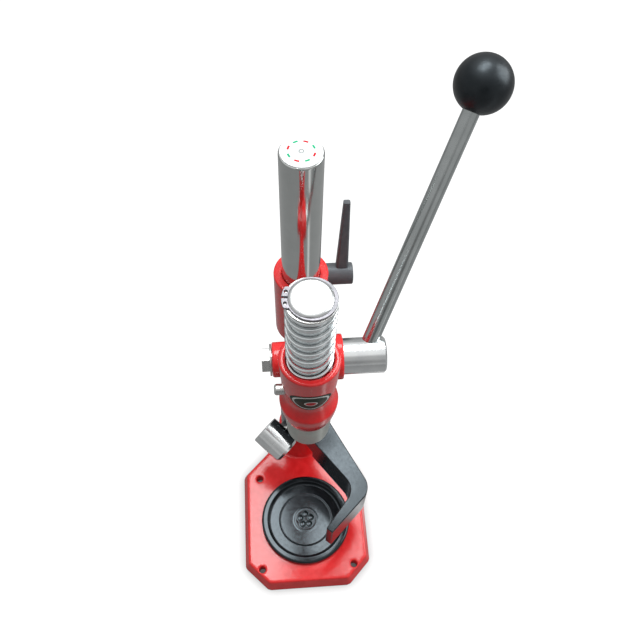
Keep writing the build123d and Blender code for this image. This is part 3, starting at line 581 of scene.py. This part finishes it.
def barrel_skin():
    """Search tree of the head casting as it looks with its soft edges."""
    depsgraph = bpy.context.evaluated_depsgraph_get()
    return BVHTree.FromObject(nodes["head_casting"], depsgraph)


def on_barrel(skin, angle, height, lift):
    """Point on the barrel's outside, at an angle from the front, lifted off it."""
    outward = Vector((sin(angle), -cos(angle), 0.0))
    start = outward * ray_start_r + Vector((0, 0, height))
    hit = skin.ray_cast(start, -outward)[0]
    return hit + outward * lift


def barrel_label(skin):
    """Plain oval label without lettering, round the front of the barrel."""
    points = []
    for ring in range(1, label_rings + 1):
        share = ring / label_rings
        for side in range(label_sides):
            turn = 2 * pi * side / label_sides
            angle = share * label_half_angle * cos(turn)
            height = label_middle_z + share * label_half_height * sin(turn)
            points.append(on_barrel(skin, angle, height, label_lift))
    faces = band_faces(label_rings, label_sides)
    face_inks = []
    for ring in range(1, label_rings):
        share = (ring + 0.5) / label_rings
        ink = next(ink for edge, ink in label_bands if share <= edge)
        face_inks += [label_inks.index(ink)] * label_sides
    middle = len(points)
    points.append(on_barrel(skin, 0.0, label_middle_z, label_lift))
    for side in range(label_sides):
        faces.append((middle, side, (side + 1) % label_sides))
    face_inks += [label_inks.index("label_red")] * label_sides
    new_piece("barrel_label", "head", "red_enamel", points, faces, label_inks, face_inks)


def barrel_seam(skin):
    """Thin raised parting line that the mould left down the barrel's front."""
    points = []
    for step in range(seam_steps + 1):
        height = seam_low_z + (seam_high_z - seam_low_z) * step / seam_steps
        for side, lift in seam_profile:
            angle = side * seam_half_width / seam_barrel_r
            points.append(on_barrel(skin, angle, height, lift * seam_height))
    faces = band_faces(seam_steps + 1, len(seam_profile), closed=False)
    new_piece("barrel_seam", "head", "red_enamel", points, faces)


def arc_patch(points, faces, middle, inner, outer, start, end, steps):
    """Adds a flat stretch of a ring to a list of points and faces."""
    first = len(points)
    for step in range(steps + 1):
        turn = start + (end - start) * step / steps
        for radius in (outer, inner):
            points.append((middle[0] + radius * cos(turn), middle[1] + radius * sin(turn), middle[2]))
    for step in range(steps):
        near = first + 2 * step
        faces.append((near, near + 2, near + 3, near + 1))


def disc_print():
    """Short green and red marks in a circle round a small grey ring, on the column's disc."""
    low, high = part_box("column_top_disc")
    middle = ((low[0] + high[0]) / 2, (low[1] + high[1]) / 2, high[2] + print_lift)
    disc_r = (high[0] - low[0]) / 2
    inner = print_inner_r * disc_r
    outer = print_outer_r * disc_r
    points = []
    faces = []
    face_inks = []
    for mark in range(print_marks):
        turn = 2 * pi * (mark + 0.5) / print_marks
        start = turn - print_mark_angle / 2
        end = turn + print_mark_angle / 2
        arc_patch(points, faces, middle, inner, outer, start, end, print_mark_steps)
        face_inks += [mark % 2] * print_mark_steps
    inner = print_ring_inner_r * disc_r
    outer = print_ring_outer_r * disc_r
    arc_patch(points, faces, middle, inner, outer, 0.0, 2 * pi, print_ring_steps)
    face_inks += [print_inks.index("label_grey")] * print_ring_steps
    new_piece("disc_print", "base", "white_disc", points, faces, print_inks, face_inks)


def make_camera():
    """Camera that stands and turns as the photograph's did."""
    level = cos(camera_pitch)
    forward = Vector((sin(camera_yaw) * level, cos(camera_yaw) * level, -sin(camera_pitch)))
    right = Vector((cos(camera_yaw), -sin(camera_yaw), 0.0))
    down = forward.cross(right)
    turned_right = cos(camera_roll) * right + sin(camera_roll) * down
    turned_down = cos(camera_roll) * down - sin(camera_roll) * right
    camera = bpy.data.objects.new("camera", bpy.data.cameras.new("camera"))
    camera.data.lens = camera_lens
    camera.data.sensor_width = camera_sensor
    camera.data.clip_start = camera_nearest
    turn = Matrix((turned_right, -turned_down, -forward)).transposed()
    camera.matrix_world = Matrix.Translation(camera_place) @ turn.to_4x4()
    bpy.context.scene.collection.objects.link(camera)
    bpy.context.scene.camera = camera


def make_lamp(name, place, size, power, direction, turn=0.0):
    """Rectangular lamp that shines along a direction, turned about it."""
    lamp = bpy.data.lights.new(name, "AREA")
    lamp.shape = "RECTANGLE"
    lamp.size, lamp.size_y = size
    lamp.energy = power
    lamp.color = lamp_colour
    holder = bpy.data.objects.new(name, lamp)
    aim = direction.to_track_quat("-Z", "Y").to_matrix().to_4x4()
    holder.matrix_world = Matrix.Translation(place) @ aim @ Matrix.Rotation(turn, 4, "Z")
    bpy.context.scene.collection.objects.link(holder)


def maths(tree, operation, *values):
    """Number worked out by a node from sockets or plain values."""
    node = tree.nodes.new("ShaderNodeMath")
    node.operation = operation
    for socket, value in zip(node.inputs, values):
        if isinstance(value, float):
            socket.default_value = value
        else:
            tree.links.new(value, socket)
    return node.outputs["Value"]


def backdrop_share(tree, mirrored):
    """How much of the white backdrop a ray sees: all for the camera, less in a reflection."""
    rays = tree.nodes.new("ShaderNodeLightPath")
    direct = maths(tree, "MAXIMUM", rays.outputs["Is Camera Ray"], rays.outputs["Is Transmission Ray"])
    return maths(tree, "MULTIPLY_ADD", rays.outputs["Is Glossy Ray"], mirrored, direct)


def cone_light(tree, axis, outer, inner, outside, inside):
    """Strength that changes smoothly within a cone round a direction of the sky."""
    direction = tree.nodes.new("ShaderNodeTexCoord")
    along = tree.nodes.new("ShaderNodeVectorMath")
    along.operation = "DOT_PRODUCT"
    along.inputs[1].default_value = axis
    tree.links.new(direction.outputs["Generated"], along.inputs[0])
    light = tree.nodes.new("ShaderNodeMapRange")
    light.interpolation_type = "SMOOTHSTEP"
    light.inputs["From Min"].default_value = cos(outer)
    light.inputs["From Max"].default_value = cos(inner)
    light.inputs["To Min"].default_value = outside
    light.inputs["To Max"].default_value = inside
    tree.links.new(along.outputs["Value"], light.inputs["Value"])
    return light.outputs["Result"]


def make_world():
    """Soft ceiling over a dim horizon with a dark side in front, all white to the camera."""
    world = bpy.data.worlds.new("studio")
    world.use_nodes = True
    tree = world.node_tree
    background = tree.nodes["Background"]
    background.inputs["Color"].default_value = (1.0, 1.0, 1.0, 1.0)
    ceiling = (0.0, cos(ceiling_elevation), sin(ceiling_elevation))
    light = cone_light(tree, ceiling, ceiling_outer, ceiling_inner, horizon_strength, ceiling_strength)
    shade = cone_light(tree, dark_side, dark_side_outer, dark_side_inner, 1.0, dark_side_share)
    seen = tree.nodes.new("ShaderNodeMix")
    seen.inputs["B"].default_value = 1.0
    mirrored = maths(tree, "MULTIPLY", shade, backdrop_mirrored)
    tree.links.new(backdrop_share(tree, mirrored), seen.inputs["Factor"])
    tree.links.new(maths(tree, "MULTIPLY", light, shade), seen.inputs["A"])
    tree.links.new(seen.outputs["Result"], background.inputs["Strength"])
    bpy.context.scene.world = world


def floor_mirrored(tree):
    """Share of the floor that reflections show, larger in the brighter sector, which paints a reflection
    streak on the metals.
    """
    place = tree.nodes.new("ShaderNodeTexCoord")
    mapping = tree.nodes.new("ShaderNodeMapping")
    mapping.vector_type = "TEXTURE"
    mapping.inputs["Location"].default_value = streak_from
    mapping.inputs["Rotation"].default_value = (0.0, 0.0, streak_azimuth)
    tree.links.new(place.outputs["Object"], mapping.inputs["Vector"])
    sector = tree.nodes.new("ShaderNodeTexGradient")
    sector.gradient_type = "RADIAL"
    tree.links.new(mapping.outputs["Vector"], sector.inputs["Vector"])
    # Painted reflection: the floor glows brighter inside this sector, for reflections only
    aside = maths(tree, "ABSOLUTE", maths(tree, "SUBTRACT", sector.outputs["Fac"], streak_middle))
    gain = ramp(tree, aside, streak_gain, 1.0, 0.0, streak_half_width / (2 * pi))
    return maths(tree, "MULTIPLY", gain, backdrop_mirrored)


def floor_material():
    """Pale floor whose glow is dimmed close to the object, a painted contact shadow, and which keeps its
    shadow.
    """
    material = bpy.data.materials.new("floor")
    material.use_nodes = True
    tree = material.node_tree
    tree.nodes.clear()
    output = tree.nodes.new("ShaderNodeOutputMaterial")
    plain = tree.nodes.new("ShaderNodeBsdfDiffuse")
    plain.inputs["Color"].default_value = (floor_albedo, floor_albedo, floor_albedo, 1.0)
    glow = tree.nodes.new("ShaderNodeEmission")
    both = tree.nodes.new("ShaderNodeAddShader")
    # Painted contact shadow: occlusion dims the floor's glow close to the object
    contact = tree.nodes.new("ShaderNodeAmbientOcclusion")
    contact.inputs["Distance"].default_value = contact_reach
    open_glow = maths(tree, "MULTIPLY", contact.outputs["AO"], floor_glow)
    seen_glow = maths(tree, "MULTIPLY", open_glow, backdrop_share(tree, floor_mirrored(tree)))
    tree.links.new(seen_glow, glow.inputs["Strength"])
    tree.links.new(plain.outputs[0], both.inputs[0])
    tree.links.new(glow.outputs[0], both.inputs[1])
    tree.links.new(both.outputs[0], output.inputs["Surface"])
    return material


def make_floor():
    """White floor just below the object."""
    half = floor_size / 2
    corners = [(-half, -half, 0), (half, -half, 0), (half, half, 0), (-half, half, 0)]
    mesh = bpy.data.meshes.new("floor")
    mesh.from_pydata(corners, [], [(0, 1, 2, 3)])
    mesh.materials.append(floor_material())
    floor = bpy.data.objects.new("floor", mesh)
    floor.location.z = -floor_drop
    bpy.context.scene.collection.objects.link(floor)


red_enamel()
metal_finishes()
plastic_finishes()
printing_inks()
dress_nodes()
return_spring()
bottle_dish()
barrel = barrel_skin()
barrel_label(barrel)
barrel_seam(barrel)
disc_print()
make_camera()
make_world()
make_floor()
make_lamp("softbox", softbox_place, softbox_size, softbox_power, softbox_direction, softbox_turn)
make_lamp("side", side_place, side_size, side_power, side_target - side_place)
bpy.context.scene.view_settings.view_transform = "Standard"
